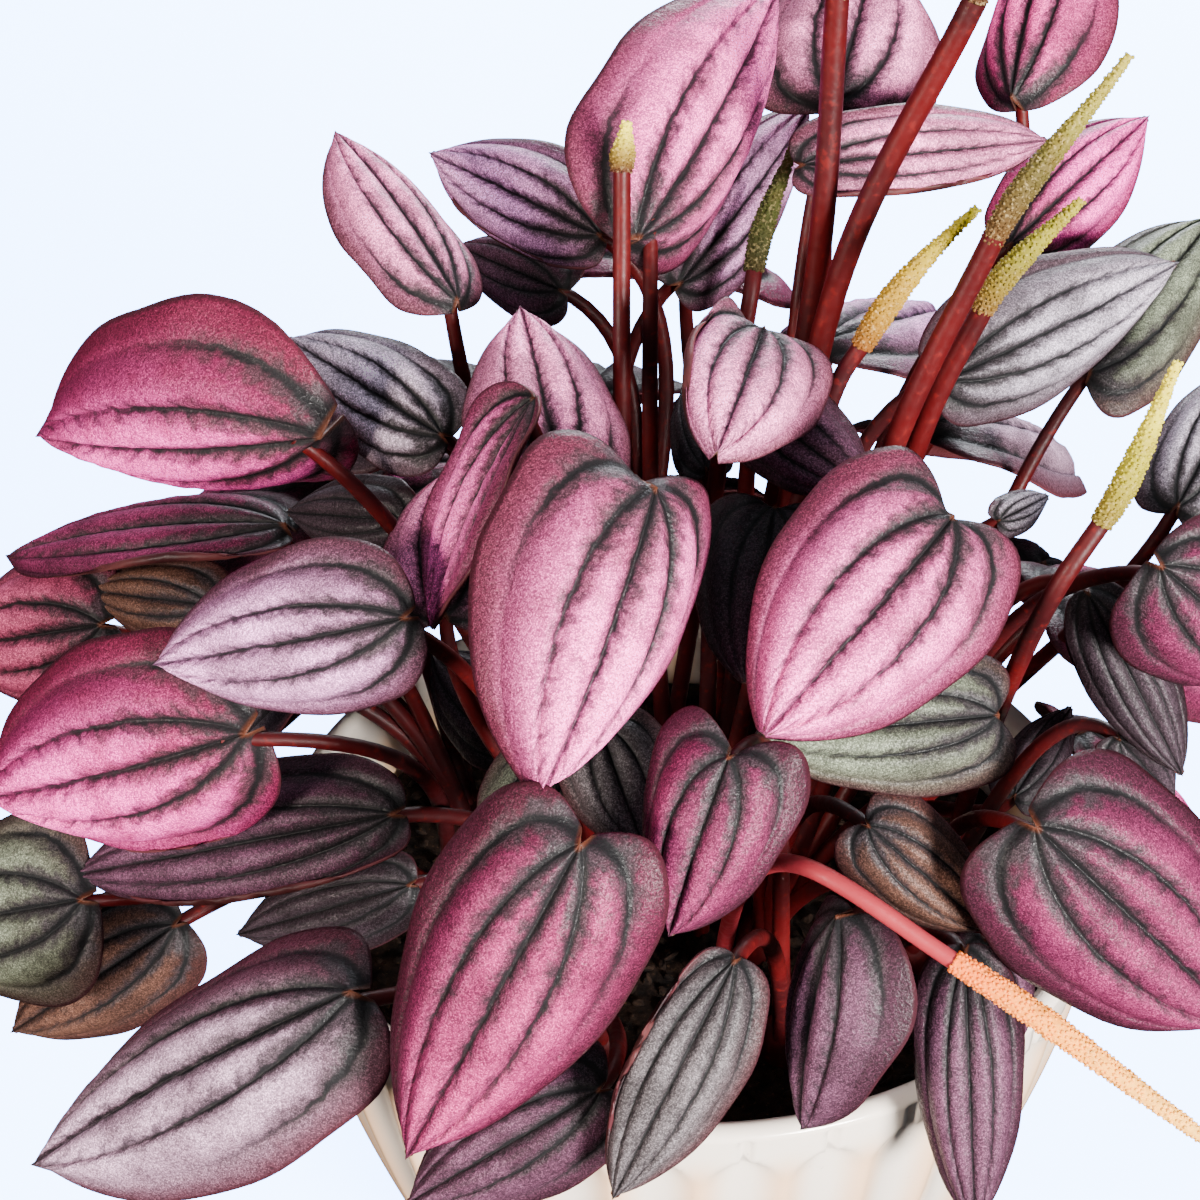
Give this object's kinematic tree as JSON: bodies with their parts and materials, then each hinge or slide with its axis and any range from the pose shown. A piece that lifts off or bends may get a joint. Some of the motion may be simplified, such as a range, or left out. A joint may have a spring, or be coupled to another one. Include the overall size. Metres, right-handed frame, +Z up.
{
  "type": "potted ripple peperomia",
  "caption": "Bushy ripple peperomia with pink and purple rippled leaves and cream flower spikes, in a white fluted ceramic pot.",
  "frame": {"origin": "centre of the pot's foot, on the surface it stands on", "axes": "+Z up along the pot's axis, -Y towards the front of the plant, +X to the viewer's right"},
  "size_m": [0.2012, 0.1855, 0.2388],
  "materials": {
    "glazed_pot": "glossy white glaze",
    "potting_mix": "dark crumbly peat",
    "foliage": "soft satin leaf with sunken dark veins",
    "flower_stalk": "glossy dark red stalk",
    "flower_spike": "matt cream and olive grains"
  },
  "bodies": {
    "root": {"pot": "glazed_pot", "soil": "potting_mix", "leafy_stem_01": "foliage", "leafy_stem_02": "foliage", "leafy_stem_03": "foliage", "leafy_stem_04": "foliage", "leafy_stem_05": "foliage", "leafy_stem_06": "foliage", "leafy_stem_07": "foliage", "leafy_stem_08": "foliage", "leafy_stem_09": "foliage", "leafy_stem_10": "foliage", "leafy_stem_11": "foliage", "leafy_stem_12": "foliage", "leafy_stem_13": "foliage", "flower_stalk_1": "flower_stalk", "flower_stalk_2": "flower_stalk", "flower_stalk_3": "flower_stalk", "flower_stalk_4": "flower_stalk", "flower_stalk_5": "flower_stalk", "flower_stalk_6": "flower_stalk", "flower_stalk_7": "flower_stalk", "flower_stalk_8": "flower_stalk", "flower_stalk_9": "flower_stalk", "flower_spike_1": "flower_spike", "flower_spike_2": "flower_spike", "flower_spike_3": "flower_spike", "flower_spike_4": "flower_spike", "flower_spike_5": "flower_spike", "flower_spike_6": "flower_spike", "flower_spike_7": "flower_spike", "flower_spike_8": "flower_spike", "flower_spike_9": "flower_spike"}
  },
  "joints": []
}
